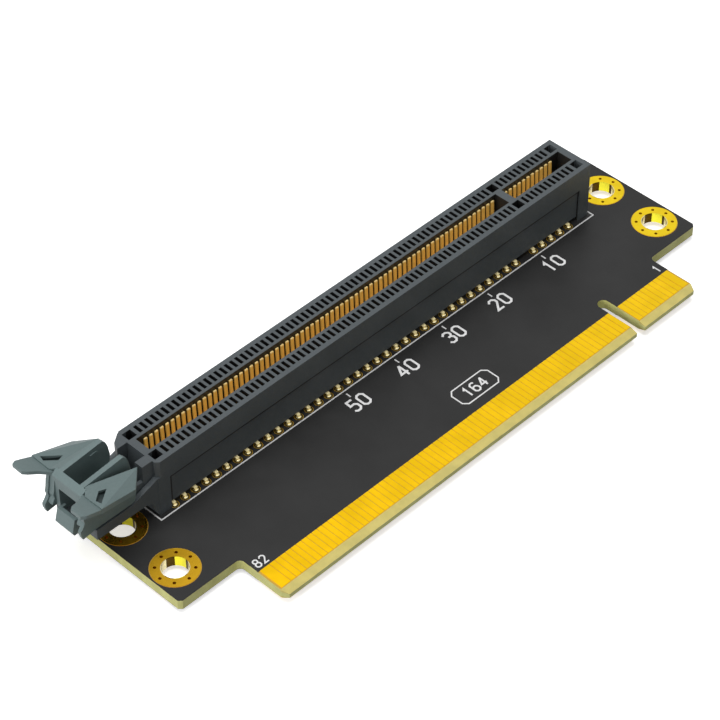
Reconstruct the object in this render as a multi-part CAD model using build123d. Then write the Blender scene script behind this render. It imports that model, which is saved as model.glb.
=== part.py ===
from build123d import *
import math
import os

# A riser card: a circuit board with an edge connector on its front tongue,
# a card slot soldered on its face, and a latch lever at the slot's outer end.
# Millimetres. Z = 0 is the bare board face, +Z points from the board to the slot's mouth,
# +X runs along the slot towards contact 1, +Y points away from the edge connector.
# The origin is the centre of the four mounting holes.

# Board outline
BOARD_THICKNESS = 1.6
HOLE_SPACING_X = 100.0
HOLE_SPACING_Y = 10.7
BOARD_END_MARGIN = 3.8
BOARD_BACK_MARGIN = 7.4
SHOULDER_MARGIN = 5.05
CORNER_CUT = 0.5
SHOULDER_RADIUS = 0.8

# Edge connector on the front tongue
TONGUE_LENGTH = 9.05
TONGUE_OFFSET_X = 0.9
TONGUE_LONG_MARGIN = 1.55
TONGUE_SHORT_MARGIN = 1.15
TONGUE_CORNER_CUT = 1.0
TIP_BEVEL_Y = 1.25
TIP_BEVEL_Z = 0.42
NOTCH_WIDTH = 1.9
NOTCH_DEPTH = 8.3
PAD_LENGTH = 4.25
PAD_WIDTH = 0.9
END_PAD_MARGIN = 0.3
PAD_TIP_GAP = 0.05
PAD_THICKNESS = 0.06

# Contacts, on the edge connector and in the slot
PITCH = 1.0
KEY_GAP = 3.0
SHORT_GROUP = 11
LONG_GROUP = 71

# Board skins
MASK_THICKNESS = 0.05
MASK_CLEARANCE = 0.1
INK_THICKNESS = 0.04
INK_WIDTH = 0.2

# Plated mounting holes
HOLE_RADIUS = 1.95
RING_RADIUS = 3.5
PLATING = 0.06
VIA_COUNT = 8
VIA_RADIUS = 0.24
VIA_CIRCLE_RADIUS = 2.78

# Slot housing
SLOT_KEY_X = 29.4
SLOT_CENTRE_Y = 7.36
HOUSING_HEIGHT = 10.0
HOUSING_HALF_WIDTH = 4.2
LONG_END_MARGIN = 2.8
SHORT_END_MARGIN = 3.2
END_WALL = 1.25
CORNER_BEVEL = 0.55
MOUTH_HALF_WIDTH = 1.4
MOUTH_DEPTH = 8.4
KEY_RIB_WIDTH = 1.3
CAVITY_WIDTH = 0.56
CAVITY_INNER = 1.88
CAVITY_OUTER = 3.42
CAVITY_BRIDGE = 0.7
POCKET_SIDE = 1.5
POCKET_DEPTH = 6.0
POCKET_STEP = 1.6
PANEL_DEPTH = 0.32
PANEL_END_MARGIN = 2.2
PANEL_TOP = 6.1
UNDERCUT_HEIGHT = 0.8
SPINE_HALF_WIDTH = 1.3
PEG_RADIUS = 1.1
PEG_LENGTH = 2.2
PEG_TIP_CUT = 0.3
PEG_CLEARANCE = 0.1

# Slot contacts and their solder joints
STRIP_WIDTH = 0.5
STRIP_THICKNESS = 0.25
TAIL_WIDTH = 0.3
INNER_TAIL_ROW = 2.0
OUTER_TAIL_ROW = 4.0
TAIL_PROTRUSION = 0.9
TAIL_BEND_HEIGHT = 0.3
STEM_BEND_HEIGHT = 0.65
STEM_LINE = 2.75
ARM_FOOT_HEIGHT = 2.4
BULGE_LINE = 0.72
BULGE_HEIGHT = 4.6
ARM_UPPER_LINE = 1.1
ARM_UPPER_HEIGHT = 6.4
ARM_TOP_LINE = 1.22
ARM_TOP_HEIGHT = 9.2
BARREL_RADIUS = 0.38
BARREL_WALL = 0.06
LAND_RADIUS = 0.62
SOLDER_HEIGHT = 0.85
SOLDER_TIP_RADIUS = 0.3
SOLDER_COLLAR_HEIGHT = 0.12

# Latch tower: cheeks, pivot lugs and tray at the slot's long end
CHEEK_LENGTH = 1.8
CHEEK_INNER = 1.78
CHEEK_OUTER = 3.25
REAR_CHEEK_OUTER = 4.0
REAR_CHEEK_WAIST = 2.95
REAR_CHEEK_LEAN = 0.5
REAR_CHEEK_BEVEL = 1.5
TRAY_LENGTH = 11.1
TRAY_BOTTOM = 3.57
TRAY_FLOOR = 1.0
TRAY_RIM = 5.4
TRAY_SHOULDER = 7.1
TRAY_RAMP = 4.7
TRAY_SIDE_INNER = 3.35
TRAY_SIDE_OUTER = 4.15
GUSSET_LENGTH = 2.3
LUG_INNER = 2.65
LUG_OUTER = 3.2
LUG_RADIUS = 0.95

# Latch lever
PIVOT_OUT = 4.5
PIVOT_HEIGHT = 6.3
STUD_RADIUS = 0.55
STUD_CLEARANCE = 0.05
LEVER_GAP = 0.15
RAIL_INNER = 1.72
RAIL_OUTER = 2.5
SKIRT_THICKNESS = 0.6
RAIL_TOP_IN = 13.3
RAIL_TOP_OUT = 12.64
RAIL_START = 4.3
BAR_START = 11.3
BAR_DEPTH = 0.95
BAR_BOTTOM = 10.1
BAR_TOP_FALL = 0.75
BAR_HALF_WIDTH = 3.0
LIP_TOP = 6.87
LIP_BOTTOM = 4.15
LIP_OUT = 13.35
LIP_DEPTH = 1.75
LIP_LEAN = 0.55
LIP_POCKET_OUT = 12.25
LIP_POCKET_HALF_WIDTH = 1.3
LIP_FLOOR = 0.6
WEB_TOP = 8.4
WEB_BOTTOM = 5.2
WEB_START = 3.1
WEB_THICKNESS = 1.7
WEB_ROOT = 0.3
WING_THICKNESS = 0.9
WING_TIP_THICKNESS = 0.6
WING_POCKET_DEPTH = 0.65
MARK_HEIGHT = 0.12
SEAM = 0.05

# Printed marks
OUTLINE_MARGIN = 0.5
OUTLINE_HALF_WIDTH = 4.98
OUTLINE_RETURN = 1.4
DIGIT_ASPECT = 0.55
STROKE_SHARE = 0.15
DIGIT_STEP = 0.85
END_DIGIT_HEIGHT = 1.4
END_DIGIT_MARGIN = 0.5
SCALE_DIGIT_HEIGHT = 2.3
SCALE_LINE = 8.1
SCALE_STEP = 10
SCALE_LAST = 50
TICK_LENGTH = 0.9
BOX_X = 3.9
BOX_Y = -10.45
BOX_LENGTH = 7.6
BOX_WIDTH = 3.5
BOX_CORNER = 0.7
BOX_DIGIT_HEIGHT = 1.8

# Strokes of the digits on a field two wide and four high
DIGIT_STROKES = {
    "0": [[(0, 2), (0, 3.4), (0.6, 4), (1.4, 4), (2, 3.4), (2, 0.6), (1.4, 0), (0.6, 0), (0, 0.6), (0, 2)]],
    "1": [[(0.4, 3.2), (1.1, 4), (1.1, 0)]],
    "2": [[(0, 3.3), (0.6, 4), (1.4, 4), (2, 3.4), (2, 2.6), (0.1, 0), (2, 0)]],
    "3": [
        [(0, 3.4), (0.6, 4), (1.4, 4), (2, 3.4), (2, 2.7), (1.5, 2.15), (0.8, 2.15)],
        [(1.5, 2.15), (2, 1.6), (2, 0.6), (1.4, 0), (0.6, 0), (0, 0.6)],
    ],
    "4": [[(1.5, 0), (1.5, 4)], [(1.5, 4), (0, 1.2), (2.1, 1.2)]],
    "5": [[(1.9, 4), (0.3, 4), (0.2, 2.3), (1.4, 2.4), (2, 1.8), (2, 0.6), (1.4, 0), (0.6, 0), (0, 0.5)]],
    "6": [
        [(1.8, 3.7), (1.4, 4), (0.6, 4), (0, 3.4), (0, 0.6), (0.6, 0), (1.4, 0), (2, 0.6), (2, 1.6)],
        [(2, 1.6), (1.4, 2.3), (0.6, 2.3), (0, 1.7)],
    ],
    "7": [[(0, 4), (2, 4), (0.7, 0)]],
    "8": [
        [
            (1, 2.15), (0.6, 2.15), (0.15, 2.7), (0.15, 3.5), (0.6, 4),
            (1.4, 4), (1.85, 3.5), (1.85, 2.7), (1.4, 2.15),
        ],
        [
            (1, 2.15), (0.6, 2.15), (0, 1.6), (0, 0.6), (0.6, 0),
            (1.4, 0), (2, 0.6), (2, 1.6), (1.4, 2.15), (1, 2.15),
        ],
    ],
    "9": [
        [(0.2, 0.3), (0.6, 0), (1.4, 0), (2, 0.6), (2, 3.4), (1.4, 4), (0.6, 4), (0, 3.4), (0, 2.4)],
        [(0, 2.4), (0.6, 1.7), (1.4, 1.7), (2, 2.3)],
    ],
}

# Derived places
BOARD_HALF_LENGTH = HOLE_SPACING_X / 2 + BOARD_END_MARGIN
BOARD_BACK_Y = HOLE_SPACING_Y / 2 + BOARD_BACK_MARGIN
SHOULDER_Y = -HOLE_SPACING_Y / 2 - SHOULDER_MARGIN
TIP_Y = SHOULDER_Y - TONGUE_LENGTH
TONGUE_KEY_X = SLOT_KEY_X + TONGUE_OFFSET_X
SHORT_REACH = KEY_GAP / 2 + (SHORT_GROUP - 1) * PITCH
LONG_REACH = KEY_GAP / 2 + (LONG_GROUP - 1) * PITCH
TONGUE_RIGHT_X = TONGUE_KEY_X + SHORT_REACH + TONGUE_SHORT_MARGIN
TONGUE_LEFT_X = TONGUE_KEY_X - LONG_REACH - TONGUE_LONG_MARGIN
PAD_END_Y = TIP_Y + TIP_BEVEL_Y + PAD_TIP_GAP
MASK_EDGE_Y = PAD_END_Y + PAD_LENGTH
SEAT_Z = MASK_THICKNESS
LONG_END = LONG_REACH + LONG_END_MARGIN
SHORT_END = SHORT_REACH + SHORT_END_MARGIN
MOUTH_FLOOR = HOUSING_HEIGHT - MOUTH_DEPTH
SKIRT_INNER = LUG_OUTER + LEVER_GAP
SKIRT_OUTER = SKIRT_INNER + SKIRT_THICKNESS
SLOT_PLACE = Location((SLOT_KEY_X, SLOT_CENTRE_Y, SEAT_Z))
SIDES = (-1, 1)


def span_box(x_range, y_range, z_range):
    """Box between the given pairs of x, y and z."""
    size = [high - low for low, high in (x_range, y_range, z_range)]
    centre = [(high + low) / 2 for low, high in (x_range, y_range, z_range)]
    return Solid.make_box(*size).moved(Location([c - d / 2 for c, d in zip(centre, size)]))


def side_range(side, inner, outer):
    """Interval on one side of the slot's centre plane, low value first."""
    return tuple(sorted((side * inner, side * outer)))


def upright_prism(points, height, z):
    """Prism over a closed plan outline."""
    face = Face(Wire.make_polygon([(x, y, z) for x, y in points], close=True))
    return Solid.extrude(face, Vector(0, 0, height))


def side_prism(points, y_range):
    """Prism across the slot from a closed outline in x and z."""
    face = Face(Wire.make_polygon([(x, y_range[0], z) for x, z in points], close=True))
    return Solid.extrude(face, Vector(0, y_range[1] - y_range[0], 0))


def round_post(x, y, radius, z, height):
    """Upright cylinder standing on z."""
    return Solid.make_cylinder(radius, height, Plane((x, y, z)))


def line_sides(points, thickness):
    """Both sides of a line of constant thickness. A line that ends where it starts is a loop."""
    loop = points[0] == points[-1]
    behind = [points[-2] if loop else points[0]] + points[:-1]
    ahead = points[1:] + [points[1] if loop else points[-1]]
    left, right = [], []
    for (x, y), back, front in zip(points, behind, ahead):
        first = math.atan2(y - back[1], x - back[0])
        second = math.atan2(front[1] - y, front[0] - x)
        first = second if back == (x, y) else first
        second = first if front == (x, y) else second
        half_turn = math.remainder(second - first, math.tau) / 2
        normal = first + half_turn + math.pi / 2
        reach = thickness / 2 / math.cos(half_turn)
        left.append((x + reach * math.cos(normal), y + reach * math.sin(normal)))
        right.append((x - reach * math.cos(normal), y - reach * math.sin(normal)))
    return left, right


def thick_line(points, thickness):
    """Closed outline of constant thickness about an open line of points."""
    left, right = line_sides(points, thickness)
    return left + right[::-1]


def joined(first, *others):
    """One solid from overlapping solids."""
    return first.fuse(*others).clean().solid()


def write_node(name, shapes):
    """Saves the solids of one node."""
    export_step(Compound(list(shapes)), f"parts/{name}.step")


def contact_stations():
    """Distances of contacts 1 to 82 from the key, along the slot."""
    short = [SHORT_REACH - i * PITCH for i in range(SHORT_GROUP)]
    long = [-KEY_GAP / 2 - i * PITCH for i in range(LONG_GROUP)]
    return short + long


def tail_row(side, outer):
    """Plan positions of one row of solder tails in the part's frame."""
    stations = contact_stations()[1 if outer else 0::2]
    row = OUTER_TAIL_ROW if outer else INNER_TAIL_ROW
    return [(SLOT_KEY_X + s, SLOT_CENTRE_Y + side * row) for s in stations]


def all_tails():
    """Plan positions of every solder tail."""
    return [p for side in SIDES for outer in (False, True) for p in tail_row(side, outer)]


def mounting_holes():
    """Plan positions of the four mounting holes by name."""
    half_x, half_y = HOLE_SPACING_X / 2, HOLE_SPACING_Y / 2
    return {
        "front_left": (-half_x, -half_y),
        "front_right": (half_x, -half_y),
        "rear_left": (-half_x, half_y),
        "rear_right": (half_x, half_y),
    }


def via_places(centre):
    """Plan positions of the small plated holes round one mounting hole."""
    step, reach = math.tau / VIA_COUNT, VIA_CIRCLE_RADIUS
    return [
        (centre[0] + reach * math.cos(i * step), centre[1] + reach * math.sin(i * step))
        for i in range(VIA_COUNT)
    ]


def peg_places():
    """Plan positions of the housing's three locating pegs."""
    long_peg = SLOT_KEY_X - LONG_REACH - POCKET_STEP
    short_peg = SLOT_KEY_X + SHORT_REACH + POCKET_STEP
    return [(x, SLOT_CENTRE_Y) for x in (long_peg, SLOT_KEY_X, short_peg)]


def board_outline():
    """Plan outline of the board, with the tongue but without its notch."""
    half, cut, tip_cut = BOARD_HALF_LENGTH, CORNER_CUT, TONGUE_CORNER_CUT
    return [
        (-half + cut, BOARD_BACK_Y),
        (half - cut, BOARD_BACK_Y),
        (half, BOARD_BACK_Y - cut),
        (half, SHOULDER_Y + cut),
        (half - cut, SHOULDER_Y),
        (TONGUE_RIGHT_X, SHOULDER_Y),
        (TONGUE_RIGHT_X, TIP_Y + tip_cut),
        (TONGUE_RIGHT_X - tip_cut / 2, TIP_Y),
        (TONGUE_LEFT_X + tip_cut / 2, TIP_Y),
        (TONGUE_LEFT_X, TIP_Y + tip_cut),
        (TONGUE_LEFT_X, SHOULDER_Y),
        (-half + cut, SHOULDER_Y),
        (-half, SHOULDER_Y + cut),
        (-half, BOARD_BACK_Y - cut),
    ]


def notch_cutter(z, height):
    """Round-ended slit that fits over the key of a slot."""
    x_range = (TONGUE_KEY_X - NOTCH_WIDTH / 2, TONGUE_KEY_X + NOTCH_WIDTH / 2)
    end_y = TIP_Y + NOTCH_DEPTH - NOTCH_WIDTH / 2
    slit = span_box(x_range, (TIP_Y - 1, end_y), (z, z + height))
    return slit.fuse(round_post(TONGUE_KEY_X, end_y, NOTCH_WIDTH / 2, z, height))


def tip_bevel(top_z, direction):
    """Wedge that bevels one face of the tongue's tip."""
    points = [
        (TIP_Y - 1, top_z + direction * 1.0),
        (TIP_Y + TIP_BEVEL_Y, top_z + direction * 1.0),
        (TIP_Y + TIP_BEVEL_Y, top_z),
        (TIP_Y, top_z - direction * TIP_BEVEL_Z),
        (TIP_Y - 1, top_z - direction * TIP_BEVEL_Z),
    ]
    face = Face(Wire.make_polygon([(TONGUE_LEFT_X - 1, y, z) for y, z in points], close=True))
    return Solid.extrude(face, Vector(TONGUE_RIGHT_X - TONGUE_LEFT_X + 2, 0, 0))


def hole_cutters(z, height, hole, via, tail, peg):
    """Cylinders through the board or a skin at every hole, with the given radii."""
    cutters = []
    for centre in mounting_holes().values():
        cutters.append(round_post(*centre, hole, z, height))
        if via:
            cutters += [round_post(*place, via, z, height) for place in via_places(centre)]
    cutters += [round_post(*place, tail, z, height) for place in all_tails()]
    cutters += [round_post(*place, peg, z, height) for place in peg_places()]
    return cutters


def round_shoulders(plate):
    """Fillets the two inner corners between the tongue and the board's shoulders."""
    upright = plate.edges().filter_by(Axis.Z)
    shoulders = [e for e in upright if abs(e.center().Y - SHOULDER_Y) < CORNER_CUT / 2]
    inner = [e for e in shoulders if abs(e.center().X) < BOARD_HALF_LENGTH - 2 * CORNER_CUT]
    return plate.fillet(SHOULDER_RADIUS, inner)


def circuit_board():
    """Glass-fibre core with every drilled hole."""
    core = round_shoulders(upright_prism(board_outline(), BOARD_THICKNESS, -BOARD_THICKNESS))
    z, height = -BOARD_THICKNESS - 1, BOARD_THICKNESS + 2
    drill_hole, drill_via = HOLE_RADIUS + PLATING, VIA_RADIUS + PLATING
    drill_tail, drill_peg = BARREL_RADIUS + BARREL_WALL, PEG_RADIUS + PEG_CLEARANCE
    cutters = hole_cutters(z, height, drill_hole, drill_via, drill_tail, drill_peg)
    cutters += [notch_cutter(z, height), tip_bevel(0, 1), tip_bevel(-BOARD_THICKNESS, -1)]
    return core.cut(*cutters).solid()


def solder_mask(z):
    """Thin skin on one face, open at every land, ring and edge contact."""
    outline = [(x, max(y, MASK_EDGE_Y)) for x, y in board_outline()]
    kept = [p for i, p in enumerate(outline) if p != outline[i - 1]]
    skin = round_shoulders(upright_prism(kept, MASK_THICKNESS, z))
    ring = RING_RADIUS + MASK_CLEARANCE
    land = LAND_RADIUS + MASK_CLEARANCE
    cutters = hole_cutters(z - 1, MASK_THICKNESS + 2, ring, 0, land, PEG_RADIUS + PEG_CLEARANCE)
    cutters.append(notch_cutter(z - 1, MASK_THICKNESS + 2))
    return skin.cut(*cutters).solid()


def edge_contacts(z):
    """Row of flat gold contacts on one face of the tongue, the outermost two widened outwards."""
    half = PAD_WIDTH / 2
    spans = [[TONGUE_KEY_X + s - half, TONGUE_KEY_X + s + half] for s in contact_stations()]
    spans[0][1] = TONGUE_RIGHT_X - END_PAD_MARGIN
    spans[-1][0] = TONGUE_LEFT_X + END_PAD_MARGIN
    return [span_box(span, (PAD_END_Y, MASK_EDGE_Y), (z, z + PAD_THICKNESS)) for span in spans]


def hole_plating(centre):
    """Copper barrel with a ring on both faces and a circle of small plated holes."""
    ring_z, height = -BOARD_THICKNESS - PLATING, BOARD_THICKNESS + 2 * PLATING
    top = round_post(*centre, RING_RADIUS, 0, PLATING)
    bottom = round_post(*centre, RING_RADIUS, ring_z, PLATING)
    barrel = round_post(*centre, HOLE_RADIUS + PLATING, ring_z, height)
    lining = [round_post(*place, VIA_RADIUS + PLATING, ring_z, height) for place in via_places(centre)]
    bores = [round_post(*place, VIA_RADIUS, ring_z - 1, height + 2) for place in via_places(centre)]
    bores.append(round_post(*centre, HOLE_RADIUS, ring_z - 1, height + 2))
    return top.fuse(bottom, barrel, *lining).cut(*bores).solid()


def pin_land(x, y):
    """Plated hole for one solder tail: a barrel with a land on both faces."""
    z, height = -BOARD_THICKNESS - PLATING, BOARD_THICKNESS + 2 * PLATING
    barrel = round_post(x, y, BARREL_RADIUS + BARREL_WALL, z, height)
    top = round_post(x, y, LAND_RADIUS, 0, PLATING)
    bottom = round_post(x, y, LAND_RADIUS, z, PLATING)
    return barrel.fuse(top, bottom).cut(round_post(x, y, BARREL_RADIUS, z - 1, height + 2)).solid()


def tail_prism(x, y, z, height):
    """Square shank of one solder tail."""
    half_x, half_y = TAIL_WIDTH / 2, STRIP_THICKNESS / 2
    return span_box((x - half_x, x + half_x), (y - half_y, y + half_y), (z, z + height))


def solder_joint(x, y):
    """Solder that fills one plated hole round its tail, with a cone below and a collar above."""
    low = -BOARD_THICKNESS - PLATING
    plug = round_post(x, y, BARREL_RADIUS, low, BOARD_THICKNESS + 2 * PLATING)
    cone = Solid.make_cone(SOLDER_TIP_RADIUS, LAND_RADIUS, SOLDER_HEIGHT, Plane((x, y, low - SOLDER_HEIGHT)))
    collar = Solid.make_cone(BARREL_RADIUS, STRIP_THICKNESS, SOLDER_COLLAR_HEIGHT, Plane((x, y, PLATING)))
    tail = tail_prism(x, y, low - SOLDER_HEIGHT - 1, BOARD_THICKNESS + SOLDER_HEIGHT + 3)
    return plug.fuse(cone, collar).cut(tail).solid()


def contact_profile(outer):
    """Centre line of a contact from its tail to its top, as distance from the slot's centre and height."""
    tail = OUTER_TAIL_ROW if outer else INNER_TAIL_ROW
    tail_end = -SEAT_Z - BOARD_THICKNESS - TAIL_PROTRUSION
    return [
        (tail, tail_end),
        (tail, TAIL_BEND_HEIGHT),
        (STEM_LINE, STEM_BEND_HEIGHT),
        (STEM_LINE, ARM_FOOT_HEIGHT),
        (BULGE_LINE, BULGE_HEIGHT),
        (ARM_UPPER_LINE, ARM_UPPER_HEIGHT),
        (ARM_TOP_LINE, ARM_TOP_HEIGHT),
    ]


def slot_contacts(side, outer):
    """Row of stamped spring contacts that share one side and one tail row."""
    outline = thick_line(contact_profile(outer), STRIP_THICKNESS)
    face = Face(Wire.make_polygon([(0, side * u, z) for u, z in outline], close=True))
    blade = Solid.extrude(face, Vector(STRIP_WIDTH, 0, 0)).moved(Location((-STRIP_WIDTH / 2, 0, 0)))
    reach = OUTER_TAIL_ROW + STRIP_WIDTH
    low = -SEAT_Z - BOARD_THICKNESS - TAIL_PROTRUSION - 1
    trims = []
    for hand in SIDES:
        x_range = side_range(hand, TAIL_WIDTH / 2, STRIP_WIDTH)
        trims.append(span_box(x_range, (-reach, reach), (low, TAIL_BEND_HEIGHT)))
    blade = blade.cut(*trims).solid()
    stations = contact_stations()[1 if outer else 0::2]
    return [blade.moved(SLOT_PLACE * Location((s, 0, 0))) for s in stations]


def housing_block():
    """Long body of the slot, with its side panels, undercut and pegs."""
    block = span_box((-LONG_END, SHORT_END), (-HOUSING_HALF_WIDTH, HOUSING_HALF_WIDTH), (0, HOUSING_HEIGHT))
    panel_x = (-LONG_END + PANEL_END_MARGIN, SHORT_END - PANEL_END_MARGIN)
    cutters = []
    for side in SIDES:
        face = side_range(side, HOUSING_HALF_WIDTH - PANEL_DEPTH, HOUSING_HALF_WIDTH + 1)
        cutters.append(span_box(panel_x, face, (-1, PANEL_TOP)))
        under = side_range(side, SPINE_HALF_WIDTH, HOUSING_HALF_WIDTH + 1)
        cutters.append(span_box(panel_x, under, (-1, UNDERCUT_HEIGHT)))
        corner = [
            (-LONG_END - 1, side * (HOUSING_HALF_WIDTH - CORNER_BEVEL - 1)),
            (-LONG_END - 1, side * (HOUSING_HALF_WIDTH + 1)),
            (-LONG_END + CORNER_BEVEL + 1, side * (HOUSING_HALF_WIDTH + 1)),
        ]
        cutters.append(upright_prism(corner, HOUSING_HEIGHT - TRAY_SHOULDER + 1, TRAY_SHOULDER))
    return block.cut(*cutters)


def mouth_cutters():
    """Card opening either side of the key rib, the contact cavities and the square pockets."""
    floor, top = MOUTH_FLOOR, HOUSING_HEIGHT + 1
    mouth = (-MOUTH_HALF_WIDTH, MOUTH_HALF_WIDTH)
    cutters = [
        span_box((-LONG_END + END_WALL, -KEY_RIB_WIDTH / 2), mouth, (floor, top)),
        span_box((KEY_RIB_WIDTH / 2, SHORT_END - END_WALL), mouth, (floor, top)),
    ]
    half = CAVITY_WIDTH / 2
    window = (floor, HOUSING_HEIGHT - CAVITY_BRIDGE)
    for side in SIDES:
        for s in contact_stations():
            x_range = (s - half, s + half)
            cutters.append(span_box(x_range, side_range(side, CAVITY_INNER, CAVITY_OUTER), (-1, top)))
            cutters.append(span_box(x_range, side_range(side, 0, CAVITY_INNER + half), window))
        for s in (-LONG_REACH - POCKET_STEP, 0, SHORT_REACH + POCKET_STEP):
            x_range = (s - POCKET_SIDE / 2, s + POCKET_SIDE / 2)
            y_range = side_range(side, CAVITY_INNER, CAVITY_INNER + POCKET_SIDE)
            cutters.append(span_box(x_range, y_range, (HOUSING_HEIGHT - POCKET_DEPTH, top)))
    return cutters


def cheek_plan(side):
    """Plan outline of one tower cheek. The rear one widens to the housing's side."""
    root, end = -LONG_END + END_WALL / 2, -LONG_END - CHEEK_LENGTH
    if side < 0:
        return [(root, -CHEEK_OUTER), (end, -CHEEK_OUTER), (end, -CHEEK_INNER), (root, -CHEEK_INNER)]
    waist = end + REAR_CHEEK_LEAN
    return [
        (root, CHEEK_INNER),
        (end, CHEEK_INNER),
        (waist, REAR_CHEEK_WAIST),
        (waist + REAR_CHEEK_BEVEL, REAR_CHEEK_OUTER),
        (root, REAR_CHEEK_OUTER),
    ]


def latch_tower():
    """Cheeks, pivot lugs and tray that carry the latch, as solids that overlap the block."""
    root = -LONG_END + END_WALL / 2
    tray_end = -LONG_END - TRAY_LENGTH
    side_outline = [
        (root, 0),
        (-LONG_END, 0),
        (-LONG_END - GUSSET_LENGTH * 0.26, TRAY_BOTTOM * 0.53),
        (-LONG_END - GUSSET_LENGTH * 0.6, TRAY_BOTTOM * 0.9),
        (-LONG_END - GUSSET_LENGTH, TRAY_BOTTOM),
        (tray_end, TRAY_BOTTOM),
        (tray_end, TRAY_RIM),
        (-LONG_END - TRAY_RAMP, TRAY_RIM),
        (-LONG_END, TRAY_SHOULDER),
        (root, TRAY_SHOULDER),
    ]
    floor_top = TRAY_BOTTOM + TRAY_FLOOR
    half_floor = (TRAY_SIDE_INNER + TRAY_SIDE_OUTER) / 2
    pieces = [span_box((tray_end, root), (-half_floor, half_floor), (TRAY_BOTTOM, floor_top))]
    pivot_s = -LONG_END - PIVOT_OUT
    for side in SIDES:
        pieces.append(side_prism(side_outline, side_range(side, TRAY_SIDE_INNER, TRAY_SIDE_OUTER)))
        pieces.append(upright_prism(cheek_plan(side), HOUSING_HEIGHT - TRAY_BOTTOM, TRAY_BOTTOM))
        lug = side_range(side, LUG_INNER, LUG_OUTER)
        lug_foot = (pivot_s - LUG_RADIUS, -LONG_END)
        pieces.append(span_box(lug_foot, lug, (TRAY_BOTTOM, PIVOT_HEIGHT)))
        pieces.append(span_box((pivot_s, -LONG_END), lug, (PIVOT_HEIGHT - 1, PIVOT_HEIGHT + LUG_RADIUS)))
        pieces.append(cross_post(pivot_s, PIVOT_HEIGHT, LUG_RADIUS, lug))
    return pieces


def cross_post(s, z, radius, y_range):
    """Cylinder across the slot."""
    plane = Plane((s, y_range[0], z), x_dir=(1, 0, 0), z_dir=(0, 1, 0))
    return Solid.make_cylinder(radius, y_range[1] - y_range[0], plane)


def housing_peg(x):
    """Locating peg with a tapered tip, in the slot's own frame."""
    straight = PEG_LENGTH - PEG_TIP_CUT
    shank = round_post(x, 0, PEG_RADIUS, -straight, straight + UNDERCUT_HEIGHT)
    tip = Solid.make_cone(PEG_RADIUS - PEG_TIP_CUT, PEG_RADIUS, PEG_TIP_CUT, Plane((x, 0, -PEG_LENGTH)))
    return shank.fuse(tip)


def slot_housing():
    """One-piece moulded housing of the slot with the latch tower at its long end."""
    body = housing_block().fuse(*latch_tower())
    pegs = [housing_peg(x - SLOT_KEY_X) for x, _ in peg_places()]
    body = body.fuse(*pegs)
    bores = mouth_cutters()
    reach = (-HOUSING_HALF_WIDTH, HOUSING_HALF_WIDTH)
    bores.append(cross_post(-LONG_END - PIVOT_OUT, PIVOT_HEIGHT, STUD_RADIUS + STUD_CLEARANCE, reach))
    return body.cut(*bores).clean().solid().moved(SLOT_PLACE)


def out(distance):
    """Station at a distance past the slot's long end."""
    return -LONG_END - distance


def rail_outline():
    """Side view of one lever rail: its top edge, the end wall down to the lip and the rounded heel."""
    heel = STUD_RADIUS + LEVER_GAP
    return [
        (out(RAIL_START), RAIL_TOP_IN),
        (out(BAR_START), RAIL_TOP_OUT),
        (out(BAR_START + BAR_DEPTH), RAIL_TOP_OUT - BAR_TOP_FALL),
        (out(BAR_START + BAR_DEPTH), LIP_TOP - 0.3),
        (out(BAR_START + BAR_DEPTH / 2), PIVOT_HEIGHT - heel),
        (out(PIVOT_OUT), PIVOT_HEIGHT - heel),
        (out(PIVOT_OUT - heel * 0.7), PIVOT_HEIGHT - heel * 0.7),
        (out(PIVOT_OUT - heel), PIVOT_HEIGHT),
        (out(WEB_START), HOUSING_HEIGHT),
        (out(3.4), 11.8),
        (out(3.7), 12.65),
    ]


def skirt_outline():
    """Side view of one lever skirt, with its curved outer end and rounded heel."""
    heel = STUD_RADIUS + LEVER_GAP
    foot = TRAY_RIM + LEVER_GAP
    return [
        (out(3.2), 11.0),
        (out(BAR_START + 0.9), 12.1),
        (out(12.6), 10.6),
        (out(12.75), 9.4),
        (out(12.95), 8.6),
        (out(12.8), 7.9),
        (out(13.15), 7.3),
        (out(13.6), 6.75),
        (out(13.6), 6.2),
        (out(13.3), 5.2),
        (out(12.9), 5.25),
        (out(TRAY_LENGTH - 0.5), foot),
        (out(PIVOT_OUT), foot),
        (out(PIVOT_OUT - heel * 0.7), PIVOT_HEIGHT - heel * 0.7),
        (out(PIVOT_OUT - heel), PIVOT_HEIGHT),
        (out(3.65), 8.0),
    ]


def end_web_outline():
    """Side view of the web that closes the gap between a rail and its skirt at the lever's outer end."""
    return [
        (out(11.9), 11.5),
        (out(12.2), 11.5),
        (out(12.35), 10.6),
        (out(12.5), 9.4),
        (out(12.7), 8.6),
        (out(12.55), 7.9),
        (out(12.9), 7.3),
        (out(13.0), 6.9),
        (out(11.9), 6.9),
    ]


def rail_mark_outline():
    """Side view of the small raised lozenge on a rail's inner face."""
    return [(out(6.6), 12.25), (out(5.5), 12.4), (out(5.15), 12.1), (out(6.4), 12.0)]


def wing_rows(side):
    """Top points of a wing, in rows from the slot outwards, each from its inner edge to its free edge.

    The inner edge leaves the rail at the crossbar and runs to the skirt, with a wedge-shaped gap between.
    """
    rows = [
        [(4.25, SKIRT_OUTER - 0.29, 11.73), (3.1, SKIRT_OUTER - 2 * SEAM, 11.55), (5.75, 6.43, 11.08)],
        [(11.0, RAIL_OUTER - 2 * SEAM, 12.6), (12.1, 3.6, 12.45), (12.15, 7.07, 12.61)],
    ]
    return [[(out(a), side * u, z) for a, u, z in row] for row in rows]


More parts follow.
